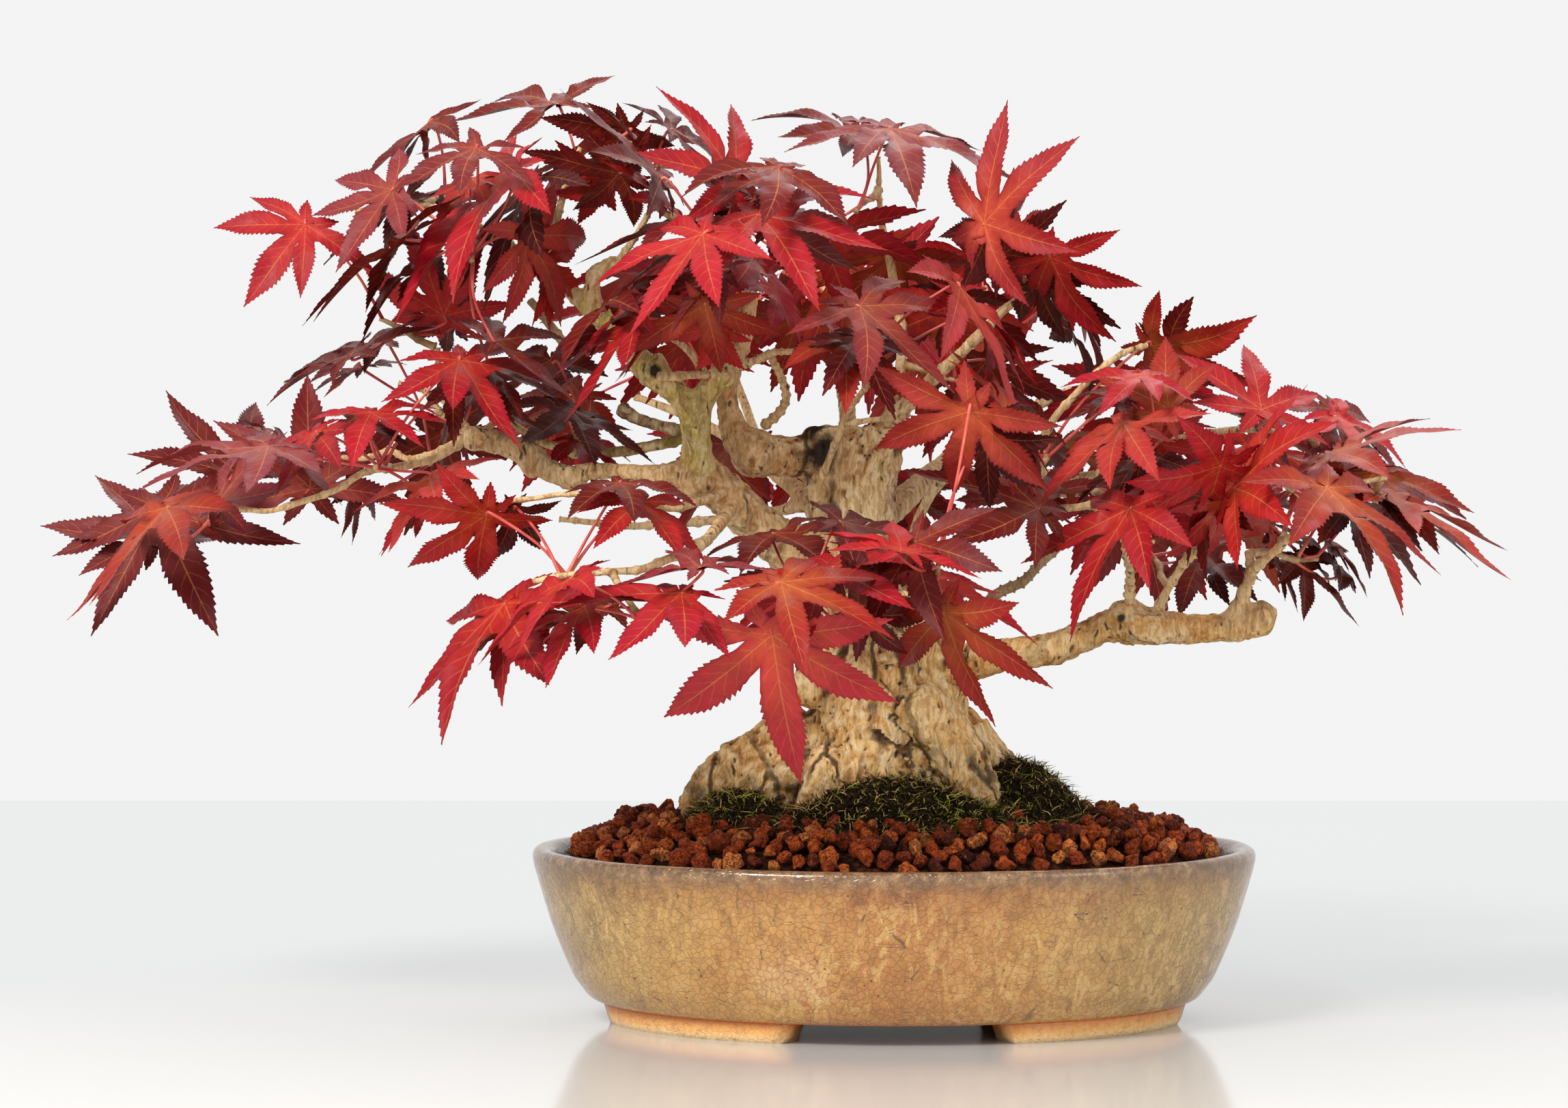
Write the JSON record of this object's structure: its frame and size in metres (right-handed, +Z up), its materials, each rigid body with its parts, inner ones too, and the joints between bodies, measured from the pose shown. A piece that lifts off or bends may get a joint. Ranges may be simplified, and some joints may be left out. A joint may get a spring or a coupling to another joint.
{
  "type": "bonsai tree in a pot",
  "caption": "Small red-leaved Japanese maple bonsai with a pale gnarled trunk, growing from moss and clay grains in an oval ochre glazed pot",
  "frame": {"origin": "centre of the whole object's footprint box in plan, on the plane the pot's four feet stand on; the pot's own centre is at x 31.8 mm, y -2.9 mm", "axes": "+X along the long side of the pot, to the right as the tree is seen from its front; +Y to the back of the tree; +Z up"},
  "size_m": [0.378, 0.246, 0.2418],
  "materials": {
    "pot_glaze": "ochre glaze with olive mottling, glossy, unglazed feet",
    "mesh_plastic": "matte moulded plastic mesh",
    "clip_wire": "drawn wire",
    "tie_wire": "brown anodised wire",
    "pumice_grains": "coarse porous grains",
    "soil": "dark fired-clay soil grains, matte",
    "akadama": "red-brown fired clay grains, matte",
    "moss": "soft moss, matte",
    "bark": "cream tan bark with dark fissures",
    "leaf": "thin red maple leaf, satin"
  },
  "bodies": {
    "root": {"akadama_top_dressing": "akadama", "drainage_layer": "pumice_grains", "drainage_mesh_left": "mesh_plastic", "drainage_mesh_right": "mesh_plastic", "leaf_shoot_01": "leaf", "leaf_shoot_02": "leaf", "leaf_shoot_03": "leaf", "leaf_shoot_04": "leaf", "leaf_shoot_05": "leaf", "leaf_shoot_06": "leaf", "leaf_shoot_07": "leaf", "leaf_shoot_08": "leaf", "leaf_shoot_09": "leaf", "leaf_shoot_10": "leaf", "leaf_shoot_11": "leaf", "leaf_shoot_12": "leaf", "leaf_shoot_13": "leaf", "leaf_shoot_14": "leaf", "leaf_shoot_15": "leaf", "leaf_shoot_16": "leaf", "leaf_shoot_17": "leaf", "leaf_shoot_18": "leaf", "leaf_shoot_19": "leaf", "leaf_shoot_20": "leaf", "leaf_shoot_21": "leaf", "leaf_shoot_22": "leaf", "leaf_shoot_23": "leaf", "leaf_shoot_24": "leaf", "leaf_shoot_25": "leaf", "leaf_shoot_26": "leaf", "leaf_shoot_27": "leaf", "leaf_shoot_28": "leaf", "leaf_shoot_29": "leaf", "leaf_shoot_30": "leaf", "leaf_shoot_31": "leaf", "leaf_shoot_32": "leaf", "leaf_shoot_33": "leaf", "leaf_shoot_34": "leaf", "leaf_shoot_35": "leaf", "leaf_shoot_36": "leaf", "leaf_shoot_37": "leaf", "leaf_shoot_38": "leaf", "leaf_shoot_39": "leaf", "leaf_shoot_40": "leaf", "leaf_shoot_41": "leaf", "leaf_shoot_42": "leaf", "mesh_clip_left": "clip_wire", "mesh_clip_right": "clip_wire", "moss_back": "moss", "moss_front": "moss", "moss_left": "moss", "moss_right": "moss", "pot": "pot_glaze", "soil_mass": "soil", "tie_wire_left": "tie_wire", "tie_wire_right": "tie_wire", "tree_wood": "bark"}
  },
  "joints": []
}
